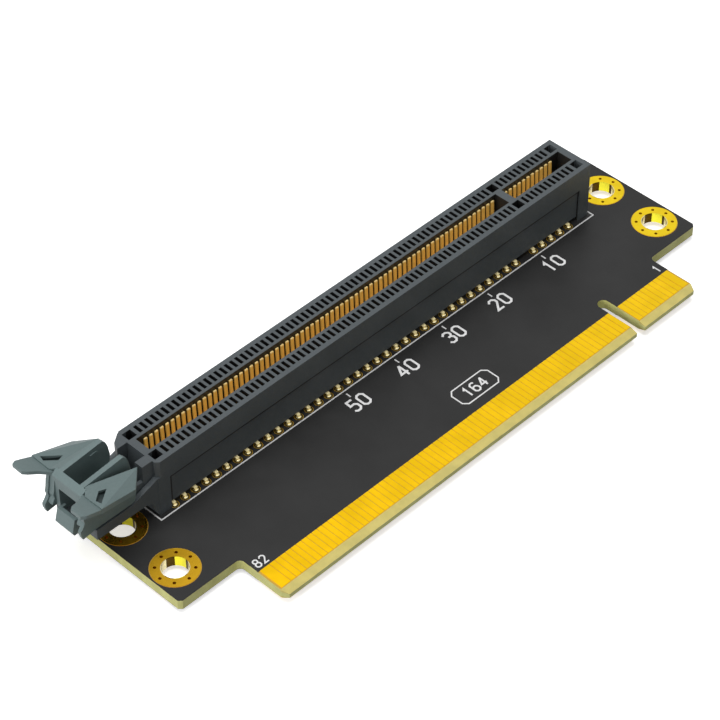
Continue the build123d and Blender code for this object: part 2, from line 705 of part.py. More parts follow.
def wing_tip_rows(side):
    """Top points of the finger pad at the end of a wing."""
    rows = [
        [(11.9, BAR_HALF_WIDTH - 2 * SEAM, 12.15), (12.0, 7.0, 12.36)],
        [(13.6, 3.95, 12.85), (13.8, 7.15, 13.05)],
        [(15.0, 4.45, 13.4), (14.9, 7.2, 13.45)],
        [(15.6, 4.95, 13.55), (15.6, 6.85, 13.6)],
    ]
    return [[(out(a), side * u, z) for a, u, z in row] for row in rows]


def draped_plate(rows, thickness):
    """Plate under a net of top points, with upright edges."""
    def lowered(p):
        return (p[0], p[1], p[2] - thickness)

    faces = []
    for near, far in zip(rows, rows[1:]):
        for i in range(len(near) - 1):
            quad = (near[i], near[i + 1], far[i + 1], far[i])
            for corners in ((quad[0], quad[1], quad[2]), (quad[0], quad[2], quad[3])):
                faces.append(Face(Wire.make_polygon(corners, close=True)))
                faces.append(Face(Wire.make_polygon([lowered(p) for p in corners], close=True)))
    rim = list(rows[0]) + [row[-1] for row in rows[1:]] + list(rows[-1])[-2::-1]
    rim += [row[0] for row in rows[-2:0:-1]]
    for p, q in zip(rim, rim[1:] + rim[:1]):
        faces.append(Face(Wire.make_polygon([p, q, lowered(q), lowered(p)], close=True)))
    plate = Solid(Shell(faces))
    return plate if plate.volume > 0 else Solid(plate.wrapped.Reversed())


def wing_pocket(side):
    """Slanted four-sided blind pocket in a wing, cut from above the wing's top."""
    rows = [[(8.98, 4.4, 12.03), (10.1, 4.05, 12.2)], [(11.45, 6.2, 12.4), (11.67, 5.3, 12.43)]]
    above = WING_THICKNESS / 2
    lifted = [[(out(a), side * u, z + above) for a, u, z in row] for row in rows]
    return draped_plate(lifted, above + WING_POCKET_DEPTH)


def latch_lever():
    """One-piece moulded lever: rails, crossbar, hollow lip, webs, skirts, winged pads and pivot studs."""
    bar = [
        (out(BAR_START), RAIL_TOP_OUT),
        (out(BAR_START + BAR_DEPTH), RAIL_TOP_OUT - BAR_TOP_FALL),
        (out(BAR_START + BAR_DEPTH), BAR_BOTTOM),
        (out(BAR_START), BAR_BOTTOM),
    ]
    lip = [
        (out(LIP_OUT - LIP_DEPTH), LIP_TOP),
        (out(LIP_OUT - LIP_LEAN), LIP_TOP),
        (out(LIP_OUT), LIP_BOTTOM + LIP_LEAN),
        (out(LIP_OUT - LIP_LEAN / 2), LIP_BOTTOM),
        (out(LIP_OUT - LIP_DEPTH), LIP_BOTTOM),
    ]
    web_x = (out(WEB_START + WEB_THICKNESS), out(WEB_START))
    pieces = [
        side_prism(bar, (-BAR_HALF_WIDTH, BAR_HALF_WIDTH)),
        side_prism(lip, (-RAIL_INNER - SEAM, RAIL_INNER + SEAM)),
        span_box(web_x, (-RAIL_INNER - WEB_ROOT, RAIL_INNER + WEB_ROOT), (WEB_BOTTOM, WEB_TOP)),
    ]
    for side in SIDES:
        rail = side_range(side, RAIL_INNER, RAIL_OUTER)
        skirt = side_range(side, SKIRT_INNER, SKIRT_OUTER)
        stud = side_range(side, LUG_INNER + LEVER_GAP / 2, SKIRT_INNER + SKIRT_THICKNESS / 2)
        pieces.append(side_prism(rail_outline(), rail))
        pieces.append(side_prism(skirt_outline(), skirt))
        pieces.append(draped_plate(wing_rows(side), WING_THICKNESS))
        pieces.append(draped_plate(wing_tip_rows(side), WING_TIP_THICKNESS))
        gap = side_range(side, RAIL_OUTER - SEAM, SKIRT_INNER + SEAM)
        pieces.append(side_prism(end_web_outline(), gap))
        mark = side_range(side, RAIL_INNER - MARK_HEIGHT, RAIL_INNER + 2 * SEAM)
        pieces.append(side_prism(rail_mark_outline(), mark))
        pieces.append(cross_post(out(PIVOT_OUT), PIVOT_HEIGHT, STUD_RADIUS, stud))
    lever = pieces[0].fuse(*pieces[1:])
    pocket_x = (out(LIP_POCKET_OUT), out(LIP_OUT - LIP_DEPTH - 1))
    pocket_y = (-LIP_POCKET_HALF_WIDTH, LIP_POCKET_HALF_WIDTH)
    pockets = [wing_pocket(side) for side in SIDES]
    pockets.append(span_box(pocket_x, pocket_y, (LIP_BOTTOM + LIP_FLOOR, LIP_TOP + 1)))
    return lever.cut(*pockets).clean().solid().moved(SLOT_PLACE)


def ink(points, width):
    """Printed line of constant width on the mask, open or closed to a ring."""
    left, right = line_sides(points, width)
    if points[0] != points[-1]:
        return upright_prism(left + right[::-1], INK_THICKNESS, MASK_THICKNESS)
    sides = [upright_prism(side[:-1], INK_THICKNESS, MASK_THICKNESS) for side in (left, right)]
    hole, disc = sorted(sides, key=lambda side: side.volume)
    return (disc - hole).solid()


def printed_number(text, x, y, height):
    """Plain digits of a number, centred on a point."""
    unit = height / 4
    step = height * DIGIT_STEP
    digits = []
    for i, character in enumerate(text):
        left = x + (i - (len(text) - 1) / 2) * step - height * DIGIT_ASPECT / 2
        strokes = []
        for line in DIGIT_STROKES[character]:
            placed = [(left + u * height * DIGIT_ASPECT / 2, y + (v - 2) * unit) for u, v in line]
            strokes.append(ink(placed, height * STROKE_SHARE))
        digits.append(strokes[0] if len(strokes) == 1 else joined(*strokes))
    return digits


def slot_outline_mark():
    """Line round the housing's foot, open towards contact 1."""
    left = SLOT_KEY_X - LONG_END - OUTLINE_MARGIN
    right = SLOT_KEY_X + SHORT_END + OUTLINE_MARGIN
    front, back = SLOT_CENTRE_Y - OUTLINE_HALF_WIDTH, SLOT_CENTRE_Y + OUTLINE_HALF_WIDTH
    path = [
        (right, front + OUTLINE_RETURN),
        (right, front),
        (left, front),
        (left, back),
        (right, back),
        (right, back - OUTLINE_RETURN),
    ]
    return ink(path, INK_WIDTH)


def number_scale():
    """Every tenth contact's number along the slot's first part, each under a tick."""
    stations = contact_stations()
    y = SLOT_CENTRE_Y - SCALE_LINE
    marks = []
    for number in range(SCALE_STEP, min(SCALE_LAST, len(stations)) + 1, SCALE_STEP):
        x = SLOT_KEY_X + stations[number - 1]
        marks += printed_number(str(number), x, y, SCALE_DIGIT_HEIGHT)
        foot = y + SCALE_DIGIT_HEIGHT / 2 + TICK_LENGTH / 2
        marks.append(ink([(x, foot), (x, foot + TICK_LENGTH)], INK_WIDTH))
    return marks


def number_box():
    """Outlined box with cut corners round the count of contacts."""
    half_x, half_y, cut = BOX_LENGTH / 2, BOX_WIDTH / 2, BOX_CORNER
    path = [
        (0, half_y),
        (half_x - cut, half_y),
        (half_x, half_y - cut),
        (half_x, cut - half_y),
        (half_x - cut, -half_y),
        (cut - half_x, -half_y),
        (-half_x, cut - half_y),
        (-half_x, half_y - cut),
        (cut - half_x, half_y),
        (0, half_y),
    ]
    frame = ink([(BOX_X + x, BOX_Y + y) for x, y in path], INK_WIDTH)
    count = str(2 * len(contact_stations()))
    return [frame] + printed_number(count, BOX_X, BOX_Y, BOX_DIGIT_HEIGHT)


def legend():
    """All printed marks on the slot's face of the board."""
    y = MASK_EDGE_Y + END_DIGIT_MARGIN + END_DIGIT_HEIGHT / 2
    marks = [slot_outline_mark()]
    marks += printed_number("1", TONGUE_KEY_X + SHORT_REACH, y, END_DIGIT_HEIGHT)
    last = str(len(contact_stations()))
    marks += printed_number(last, TONGUE_KEY_X - LONG_REACH, y, END_DIGIT_HEIGHT)
    return marks + number_scale() + number_box()


def main():
    """Builds and saves every node."""
    os.makedirs("parts", exist_ok=True)
    write_node("circuit_board", [circuit_board()])
    write_node("solder_mask_top", [solder_mask(0)])
    write_node("solder_mask_bottom", [solder_mask(-BOARD_THICKNESS - MASK_THICKNESS)])
    write_node("edge_contacts_top", edge_contacts(0))
    write_node("edge_contacts_bottom", edge_contacts(-BOARD_THICKNESS - PAD_THICKNESS))
    write_node("legend_top", legend())
    for name, centre in mounting_holes().items():
        write_node(f"hole_plating_{name}", [hole_plating(centre)])
    for side, side_name in zip(SIDES, ("front", "rear")):
        for outer, row_name in ((False, "inner"), (True, "outer")):
            row = f"{side_name}_{row_name}"
            write_node(f"slot_contacts_{row}", slot_contacts(side, outer))
            write_node(f"pin_lands_{row}", [pin_land(*p) for p in tail_row(side, outer)])
            write_node(f"solder_joints_{row}", [solder_joint(*p) for p in tail_row(side, outer)])
    write_node("slot_housing", [slot_housing()])
    write_node("latch_lever", [latch_lever()])


main()
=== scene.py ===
"""A server riser card with a 164-contact slot, dressed for the photograph's view."""

import logging
import math
from dataclasses import dataclass
from enum import Enum

import bpy
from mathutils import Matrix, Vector


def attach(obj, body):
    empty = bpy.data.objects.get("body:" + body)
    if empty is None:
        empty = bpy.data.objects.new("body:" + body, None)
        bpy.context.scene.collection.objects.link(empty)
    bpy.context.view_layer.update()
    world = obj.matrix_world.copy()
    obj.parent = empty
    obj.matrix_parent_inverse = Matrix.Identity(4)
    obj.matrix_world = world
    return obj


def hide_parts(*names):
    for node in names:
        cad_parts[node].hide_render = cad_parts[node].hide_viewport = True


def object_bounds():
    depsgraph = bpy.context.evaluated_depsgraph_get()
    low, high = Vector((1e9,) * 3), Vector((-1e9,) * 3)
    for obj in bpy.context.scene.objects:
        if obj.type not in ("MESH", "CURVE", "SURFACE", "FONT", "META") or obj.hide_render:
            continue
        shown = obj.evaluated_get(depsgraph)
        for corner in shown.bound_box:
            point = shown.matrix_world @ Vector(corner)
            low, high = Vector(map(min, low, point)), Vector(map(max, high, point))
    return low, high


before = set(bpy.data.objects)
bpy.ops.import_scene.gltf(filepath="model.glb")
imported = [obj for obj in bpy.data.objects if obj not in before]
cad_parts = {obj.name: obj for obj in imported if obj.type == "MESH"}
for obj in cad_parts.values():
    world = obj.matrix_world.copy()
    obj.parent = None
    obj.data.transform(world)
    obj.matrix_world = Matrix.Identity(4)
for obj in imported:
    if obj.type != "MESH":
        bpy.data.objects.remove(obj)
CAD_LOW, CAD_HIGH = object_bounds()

LOG = logging.getLogger("riser_card")
MM = 0.001
MM_PER_METRE = (1000.0, 1000.0, 1000.0)

# Y of the slot's centre line, which the latch shares
SLOT_CENTRE_MM = 7.36

# Range that takes in most of a noise texture's values
NOISE_RANGE = (0.35, 0.65)

# How many times finer the grain's second noise is than its first
FINE_GRAIN_RATIO = 4.0

# Length of one wave of a wave texture at scale 1
WAVE_LENGTH = 0.314

# Share that X and Y each have in a distance along the diagonal
DIAGONAL_SHARE = math.sqrt(0.5)

Colour = tuple[float, float, float]
Triple = tuple[float, float, float]
Span = tuple[float, float]
Socket = bpy.types.NodeSocket


class Body(Enum):
    """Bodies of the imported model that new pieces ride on."""

    LEVER = "lever"


class Slot(Enum):
    """Material slots of the record that new pieces take."""

    LATCH = "latch_plastic"


# Shader tools


class Canvas:
    """Adds and links nodes in one node tree."""

    def __init__(self, tree: bpy.types.NodeTree) -> None:
        """Keeps the tree that the nodes go into."""
        self.tree = tree

    def feed(self, node: bpy.types.Node, key: str | int, value: object) -> None:
        """Links a socket to an input of a node, or sets the input's own value.

        Args:
            node: The node.
            key: Name or index of the input.
            value: Output socket or plain value.
        """
        if isinstance(value, Socket):
            self.tree.links.new(value, node.inputs[key])
        else:
            node.inputs[key].default_value = value

    def add(self, kind: str, inputs: dict | None = None, **settings: object) -> bpy.types.Node:
        """Adds a node.

        Args:
            kind: Blender's type name of the node.
            inputs: Values or output sockets for its inputs, by name or index.
            **settings: Attributes of the node itself.

        Returns:
            The new node.
        """
        node = self.tree.nodes.new(kind)
        for key, value in settings.items():
            setattr(node, key, value)
        for key, value in (inputs or {}).items():
            self.feed(node, key, value)
        return node

    def math(self, operation: str, first: object, second: object = 0.0) -> Socket:
        """Combines two numbers.

        Args:
            operation: Name of the math operation.
            first: Number or socket.
            second: Number or socket, unused by an operation on one number.

        Returns:
            The result's socket.
        """
        return self.add("ShaderNodeMath", {0: first, 1: second}, operation=operation).outputs[0]

    def blend(self, factor: object, low: object, high: object) -> Socket:
        """Mixes two colours.

        Args:
            factor: Share of the high colour, a number or a socket.
            low: Colour or socket at factor 0.
            high: Colour or socket at factor 1.

        Returns:
            The mixed colour's socket.
        """
        node = self.add("ShaderNodeMix", {0: factor}, data_type="RGBA")
        for key, colour in ((6, low), (7, high)):
            self.feed(node, key, colour if isinstance(colour, Socket) else (*colour, 1.0))
        return node.outputs[2]

    def ramp(self, value: object, edges: Span, ends: tuple[object, object]) -> Socket:
        """Maps a number from one range to another, held at the ends.

        Args:
            value: Number or socket.
            edges: Range that it comes from.
            ends: Range that it goes to, as numbers or sockets.

        Returns:
            The mapped number's socket.
        """
        inputs = {0: value, 1: edges[0], 2: edges[1], 3: ends[0], 4: ends[1]}
        return self.add("ShaderNodeMapRange", inputs).outputs[0]

    def all_of(self, *masks: Socket) -> Socket:
        """Combines masks.

        Args:
            *masks: Sockets that are 0 or 1.

        Returns:
            Socket that is 1 where all of them are.
        """
        common, *others = masks
        for mask in others:
            common = self.math("MULTIPLY", common, mask)
        return common

    def within(self, value: object, span: Span) -> Socket:
        """Tells whether a number lies in a range.

        Args:
            value: Number or socket.
            span: The range.

        Returns:
            Socket that is 1 inside the range and 0 outside.
        """
        low, high = span
        return self.all_of(self.math("GREATER_THAN", value, low), self.math("LESS_THAN", value, high))

    def distance(self, value: object, centre: float) -> Socket:
        """How far a number is from a centre, on either side."""
        return self.math("ABSOLUTE", self.math("SUBTRACT", value, centre))


def new_group(name: str, inputs: dict[str, float | None], output: str) -> tuple[Canvas, dict, bpy.types.Node]:
    """Starts a shader node group that puts out one number.

    Args:
        name: Name of the group.
        inputs: Input names with their values, or None for a vector.
        output: Name of the output.

    Returns:
        The group's canvas, its input sockets by name, and its output node.
    """
    tree = bpy.data.node_groups.new(name, "ShaderNodeTree")
    for label, value in inputs.items():
        kind = "NodeSocketVector" if value is None else "NodeSocketFloat"
        socket = tree.interface.new_socket(label, in_out="INPUT", socket_type=kind)
        if value is not None:
            socket.default_value = value
    tree.interface.new_socket(output, in_out="OUTPUT", socket_type="NodeSocketFloat")
    canvas = Canvas(tree)
    given = canvas.add("NodeGroupInput").outputs
    return canvas, dict(given.items()), canvas.add("NodeGroupOutput")


def mottle_group() -> bpy.types.NodeTree:
    """Soft cloudy variation of one value, as handling and moulding leave it.

    Returns:
        The node group.
    """
    inputs = {"Place": None, "Per mm": 0.3, "Low": 0.4, "High": 0.5}
    canvas, given, end = new_group("cloudy_value", inputs, "Value")
    settings = {"Vector": given["Place"], "Scale": given["Per mm"], "Detail": 4.0}
    cloud = canvas.add("ShaderNodeTexNoise", settings).outputs[0]
    canvas.feed(end, "Value", canvas.ramp(cloud, NOISE_RANGE, (given["Low"], given["High"])))
    return canvas.tree


def grain_group() -> bpy.types.NodeTree:
    """Height of a fine surface grain made of two sizes.

    Returns:
        The node group.
    """
    inputs = {"Place": None, "Per mm": 6.0, "Fine share": 0.4}
    canvas, given, end = new_group("fine_grain", inputs, "Height")
    settings = {"Vector": given["Place"], "Scale": given["Per mm"], "Detail": 2.0}
    coarse = canvas.add("ShaderNodeTexNoise", settings).outputs[0]
    finer = canvas.math("MULTIPLY", given["Per mm"], FINE_GRAIN_RATIO)
    settings = {"Vector": given["Place"], "Scale": finer, "Detail": 1.0}
    fine = canvas.add("ShaderNodeTexNoise", settings).outputs[0]
    fine = canvas.math("MULTIPLY", fine, given["Fine share"])
    canvas.feed(end, "Height", canvas.math("ADD", coarse, fine))
    return canvas.tree


def hairline_group() -> bpy.types.NodeTree:
    """Height of fine hairlines that run along Y, as wiping leaves on plating.

    Returns:
        The node group.
    """
    inputs = {"Place": None, "Per mm": 14.0, "Run": 0.06}
    canvas, given, end = new_group("hairlines", inputs, "Height")
    stretch = canvas.add("ShaderNodeCombineXYZ", {0: 1.0, 1: given["Run"], 2: 1.0}).outputs[0]
    drawn = canvas.add("ShaderNodeVectorMath", {0: given["Place"], 1: stretch}, operation="MULTIPLY")
    settings = {"Vector": drawn.outputs[0], "Scale": given["Per mm"], "Detail": 3.0}
    canvas.feed(end, "Height", canvas.add("ShaderNodeTexNoise", settings).outputs[0])
    return canvas.tree


@dataclass(frozen=True)
class Effects:
    """Node groups shared by the finishes."""

    mottle: bpy.types.NodeTree
    grain: bpy.types.NodeTree
    hairlines: bpy.types.NodeTree


class Surface(Canvas):
    """Canvas of one material, with the place on the piece in millimetres and the shared effects."""

    def __init__(self, tree: bpy.types.NodeTree, effects: Effects) -> None:
        """Adds the place on the piece.

        Args:
            tree: Node tree of the material.
            effects: Shared node groups.
        """
        super().__init__(tree)
        self.effects = effects
        place = self.add("ShaderNodeTexCoord").outputs["Object"]
        self.place = self.add("ShaderNodeMapping", {"Vector": place, "Scale": MM_PER_METRE}).outputs[0]

    def axes(self) -> tuple[Socket, ...]:
        """The place's X, Y and Z."""
        return tuple(self.add("ShaderNodeSeparateXYZ", {0: self.place}).outputs)

    def effect(self, tree: bpy.types.NodeTree, inputs: dict[str, float]) -> Socket:
        """Puts in a shared group.

        Args:
            tree: The group.
            inputs: Values for its inputs besides the place, by name.

        Returns:
            Its output.
        """
        return self.add("ShaderNodeGroup", {"Place": self.place, **inputs}, node_tree=tree).outputs[0]

    def cloud(self, low: float, high: float, per_mm: float) -> Socket:
        """Puts in the shared cloudy value.

        Args:
            low: Lowest value.
            high: Highest value.
            per_mm: Clouds per millimetre.

        Returns:
            The value's socket.
        """
        return self.effect(self.effects.mottle, {"Per mm": per_mm, "Low": low, "High": high})


# Finishes


@dataclass(frozen=True)
class Finish:
    """A finish with its own name. Each kind has its own tone, and some their own gloss or relief."""

    name: str
    colour: Colour
    roughness: float = 0.5
    roughness_spread: float = 0.06
    specular: float = 0.5
    metallic: float = 0.0
    # Emission in the tone's colour; a finish that sets it glows as painted light
    glow: float = 0.0
    cloud_per_mm: float = 0.25
    grain_per_mm: float = 6.0
    grain_height_mm: float = 0.004

    def tone(self, surface: Surface) -> Socket:
        """Colours the surface.

        Args:
            surface: Canvas of the material.

        Returns:
            The colour's socket.
        """
        raise NotImplementedError

    def gloss(self, surface: Surface) -> Socket:
        """Makes the roughness uneven, in soft clouds."""
        low, high = self.roughness - self.roughness_spread, self.roughness + self.roughness_spread
        return surface.cloud(low, high, self.cloud_per_mm)

    def relief(self, surface: Surface) -> Socket:
        """Height of the surface's fine grain."""
        return surface.effect(surface.effects.grain, {"Per mm": self.grain_per_mm})

    def build(self, effects: Effects) -> bpy.types.Material:
        """Builds the material.

        Args:
            effects: Shared node groups.

        Returns:
            The material.
        """
        material = bpy.data.materials.new(self.name)
        material.use_nodes = True
        material.node_tree.nodes.clear()
        surface = Surface(material.node_tree, effects)
        tone = self.tone(surface)
        bump = {"Strength": 1.0, "Distance": self.grain_height_mm * MM, "Height": self.relief(surface)}
        inputs = {
            "Base Color": tone,
            "Roughness": self.gloss(surface),
            "Metallic": self.metallic,
            "Specular IOR Level": self.specular,
            "Normal": surface.add("ShaderNodeBump", bump).outputs[0],
        }
        # painted light: emission in the tone's own colour
        if self.glow:
            inputs |= {"Emission Color": tone, "Emission Strength": self.glow}
        shader = surface.add("ShaderNodeBsdfPrincipled", inputs)
        surface.add("ShaderNodeOutputMaterial", {"Surface": shader.outputs[0]})
        return material


@dataclass(frozen=True)
class MouldedPlastic(Finish):
    """Glass-filled moulded plastic with a spark-eroded skin."""

    fibre_colour: Colour = (0.12, 0.12, 0.12)
    fibre_share: float = 0.25
    specks_per_mm: float = 3.0
    drift_per_mm: float = 0.12

    def tone(self, surface: Surface) -> Socket:
        """Lets the fibres show as fine specks and as a slow drift.

        Args:
            surface: Canvas of the material.

        Returns:
            The colour's socket.
        """
        specks = surface.cloud(0.0, self.fibre_share, self.specks_per_mm)
        drift = surface.cloud(0.0, self.fibre_share, self.drift_per_mm)
        return surface.blend(surface.math("ADD", specks, drift), self.colour, self.fibre_colour)


@dataclass(frozen=True)
class SlotPlastic(MouldedPlastic):
    """Moulded plastic with painted shade: near black in the slot's mouth and cavities, and a painted shadow
    along the panels' steps.
    """

    # Painted shade: near-black colour painted where shade falls in the mouth and cavities and under the
    # panels' ledges
    hollow_shade_colour: Colour = (0.012, 0.012, 0.012)
    along_mm: Span = (-43.7, 42.9)
    mouth_mm: float = 1.43
    cavity_mm: Span = (1.87, 3.43)
    lip_mm: float = 9.97
    foot_mm: float = -1.0
    panel_face_mm: Span = (3.6, 4.0)
    panel_along_mm: Span = (-42.2, 41.75)
    ledge_shadow_from_mm: float = 5.5
    panel_ledge_mm: float = 6.25

    def tone(self, surface: Surface) -> Socket:
        """Paints shade into the hollows and a shadow onto the steps round the panels.

        Args:
            surface: Canvas of the material.

        Returns:
            The colour's socket.
        """
        x, y, z = surface.axes()
        off_centre = surface.distance(y, SLOT_CENTRE_MM)
        along = surface.within(x, self.along_mm)
        mouth = surface.math("LESS_THAN", off_centre, self.mouth_mm)
        opening = surface.math("MAXIMUM", mouth, surface.within(off_centre, self.cavity_mm))
        # painted shade: the mouth and cavities below the lip
        hollow_shade = surface.all_of(opening, along, surface.within(z, (self.foot_mm, self.lip_mm)))
        panel = surface.all_of(
            surface.within(x, self.panel_along_mm),
            surface.within(z, (self.foot_mm, self.ledge_shadow_from_mm)),
        )
        # painted shadow: a band under each panel's ledge and on the panels' end steps
        step_shadow = surface.all_of(
            surface.math("SUBTRACT", 1.0, panel),
            surface.within(off_centre, self.panel_face_mm),
            surface.math("LESS_THAN", z, self.panel_ledge_mm),
            along,
        )
        painted_shade = surface.math("MAXIMUM", hollow_shade, step_shadow)
        return surface.blend(painted_shade, super().tone(surface), self.hollow_shade_colour)


@dataclass(frozen=True)
class LatchPlastic(MouldedPlastic):
    """Moulded plastic of the latch, with painted shade in the two pockets of its wings."""

    # Painted shade: colour of the wings' pockets, where shade falls
    pocket_shade_colour: Colour = (0.035, 0.05, 0.05)
    pocket_along_mm: Span = (-56.8, -53.7)
    pocket_across_mm: Span = (3.98, 6.3)
    pocket_rise_mm: Span = (11.3, 11.95)

    def tone(self, surface: Surface) -> Socket:
        """Paints shade into the pockets.

        Args:
            surface: Canvas of the material.

        Returns:
            The colour's socket.
        """
        x, y, z = surface.axes()
        # painted shade inside the pockets
        pocket_shade = surface.all_of(
            surface.within(x, self.pocket_along_mm),
            surface.within(surface.distance(y, SLOT_CENTRE_MM), self.pocket_across_mm),
            surface.within(z, self.pocket_rise_mm),
        )
        return surface.blend(pocket_shade, super().tone(surface), self.pocket_shade_colour)


@dataclass(frozen=True)
class PlatedMetal(Finish):
    """Plating whose tone drifts along the card, faintly stained."""

    roughness_spread: float = 0.05
    metallic: float = 1.0
    grain_height_mm: float = 0.002
    far_colour: Colour = (0.9, 0.6, 0.05)
    drift_mm: Span = (-50.0, 50.0)
    stain_depth: float = 0.72
    stain_share: float = 0.12
    stains_per_mm: float = 0.8

    def tone(self, surface: Surface) -> Socket:
        """Drifts from one tone to the other and stains it.

        Args:
            surface: Canvas of the material.

        Returns:
            The colour's socket.
        """
        x, _, _ = surface.axes()
        clean = surface.blend(surface.ramp(x, self.drift_mm, (0.0, 1.0)), self.colour, self.far_colour)
        stain = surface.cloud(0.0, self.stain_share, self.stains_per_mm)
        return surface.blend(stain, clean, tuple(self.stain_depth * part for part in self.colour))


@dataclass(frozen=True)
class WipedPlating(PlatedMetal):
    """Plating with hairlines from the slots that wiped it."""

    def relief(self, surface: Surface) -> Socket:
        """Height of the hairlines."""
        return surface.effect(surface.effects.hairlines, {"Per mm": self.grain_per_mm})


@dataclass(frozen=True)
class ContactStrip(PlatedMetal):
    """Gilt spring contact with a tinned foot, a painted highlight at its upper end and a faint painted glow.
    """

    # Painted light: the strip glows faintly in its own colour, as if lit
    glow: float = 0.12
    tinned_colour: Colour = (1.0, 0.86, 0.46)
    # Painted highlight: pale colour of the strip's upper end
    top_highlight_colour: Colour = (1.0, 0.74, 0.3)
    tinned_below_mm: float = 0.75
    highlight_above_mm: float = 9.08

    def tone(self, surface: Surface) -> Socket:
        """Colours the tinned foot, and paints a highlight on the upper end, apart from the gilt between them.

        Args:
            surface: Canvas of the material.

        Returns:
            The colour's socket.
        """
        _, _, z = surface.axes()
        foot = surface.math("LESS_THAN", z, self.tinned_below_mm)
        # painted highlight on the strip's upper end
        top = surface.math("GREATER_THAN", z, self.highlight_above_mm)
        strip = surface.blend(foot, super().tone(surface), self.tinned_colour)
        return surface.blend(top, strip, self.top_highlight_colour)


@dataclass(frozen=True)
class RingPlating(PlatedMetal):
    """Plating of the mounting holes, with a polished barrel that has reflections painted on its wall in
    bands.
    """

    grain_height_mm: float = 0.003
    hole_spacing_mm: tuple[float, float] = (100.0, 10.7)
    barrel_mm: float = 2.02
    barrel_roughness: float = 0.12
    # Painted reflections: colours of the dark, bright and pale bands painted on the barrel's wall
    dark_reflection_colour: Colour = (0.08, 0.045, 0.003)
    bright_reflection_colour: Colour = (1.0, 0.92, 0.06)
    pale_reflection_colour: Colour = (1.0, 0.92, 0.58)
    dark_reflection_bands_mm: tuple[Span, ...] = ((-1.3, -0.16), (1.36, 1.66))
    bright_reflection_band_mm: Span = (-0.16, 1.36)

    def offsets(self, surface: Surface) -> list[Socket]:
        """Tells where a point lies round the nearest hole.

        Args:
            surface: Canvas of the material.

        Returns:
            Sockets of its X and Y from the hole's centre.
        """
        offsets = []
        for place, spacing in zip(surface.axes(), self.hole_spacing_mm):
            centre = surface.math("MULTIPLY", surface.math("SIGN", place), spacing / 2)
            offsets.append(surface.math("SUBTRACT", place, centre))
        return offsets

    def barrel(self, surface: Surface) -> Socket:
        """Tells the barrel's wall from the ring round it.

        Args:
            surface: Canvas of the material.

        Returns:
            Socket that is 1 on the wall and 0 on the ring.
        """
        squares = [surface.math("MULTIPLY", offset, offset) for offset in self.offsets(surface)]
        return surface.math("LESS_THAN", surface.math("ADD", *squares), self.barrel_mm ** 2)

    def tone(self, surface: Surface) -> Socket:
        """Paints reflections in bands on the barrel's wall, apart from the ring.

        Args:
            surface: Canvas of the material.

        Returns:
            The colour's socket.
        """
        # painted reflections: bands across each hole along one diagonal, pale where no band lies
        across = surface.math("SUBTRACT", *self.offsets(surface))
        across = surface.math("MULTIPLY", across, DIAGONAL_SHARE)
        wall = self.pale_reflection_colour
        for flat in self.dark_reflection_bands_mm:
            wall = surface.blend(surface.within(across, flat), wall, self.dark_reflection_colour)
        wall = surface.blend(surface.within(across, self.bright_reflection_band_mm), wall, self.bright_reflection_colour)
        return surface.blend(self.barrel(surface), super().tone(surface), wall)

    def gloss(self, surface: Surface) -> Socket:
        """Polishes the barrel's wall."""
        ends = super().gloss(surface), self.barrel_roughness
        return surface.ramp(self.barrel(surface), (0.0, 1.0), ends)


@dataclass(frozen=True)
class SolderMask(Finish):
    """Matt mask over copper and glass cloth, whose weave shows faintly."""

    dusty_colour: Colour = (0.025, 0.025, 0.025)
    dust_per_mm: float = 0.08
    weave_pitch_mm: float = 0.5
    weave_waver: float = 0.3

    def tone(self, surface: Surface) -> Socket:
        """Colour with a little dust."""
        return surface.blend(surface.cloud(0.0, 1.0, self.dust_per_mm), self.colour, self.dusty_colour)

    def relief(self, surface: Surface) -> Socket:
        """Adds the cloth's two sets of threads to the grain.

        Args:
            surface: Canvas of the material.

        Returns:
            The height's socket.
        """
        scale = WAVE_LENGTH / self.weave_pitch_mm
        wave = {"Vector": surface.place, "Scale": scale, "Distortion": self.weave_waver}
        threads = [
            surface.add("ShaderNodeTexWave", wave, bands_direction=direction).outputs[1]
            for direction in ("X", "Y")
        ]
        weave = surface.math("MULTIPLY", surface.math("ADD", *threads), 0.5)
        return surface.math("ADD", super().relief(surface), weave)


@dataclass(frozen=True)
class PrintedInk(Finish):
    """Screen-printed ink, a little thin in places."""

    thin_colour: Colour = (0.6, 0.6, 0.6)
    thin_share: float = 0.5
    thin_per_mm: float = 2.5

    def tone(self, surface: Surface) -> Socket:
        """Colour with thin places."""
        thin = surface.cloud(0.0, self.thin_share, self.thin_per_mm)
        return surface.blend(thin, self.colour, self.thin_colour)


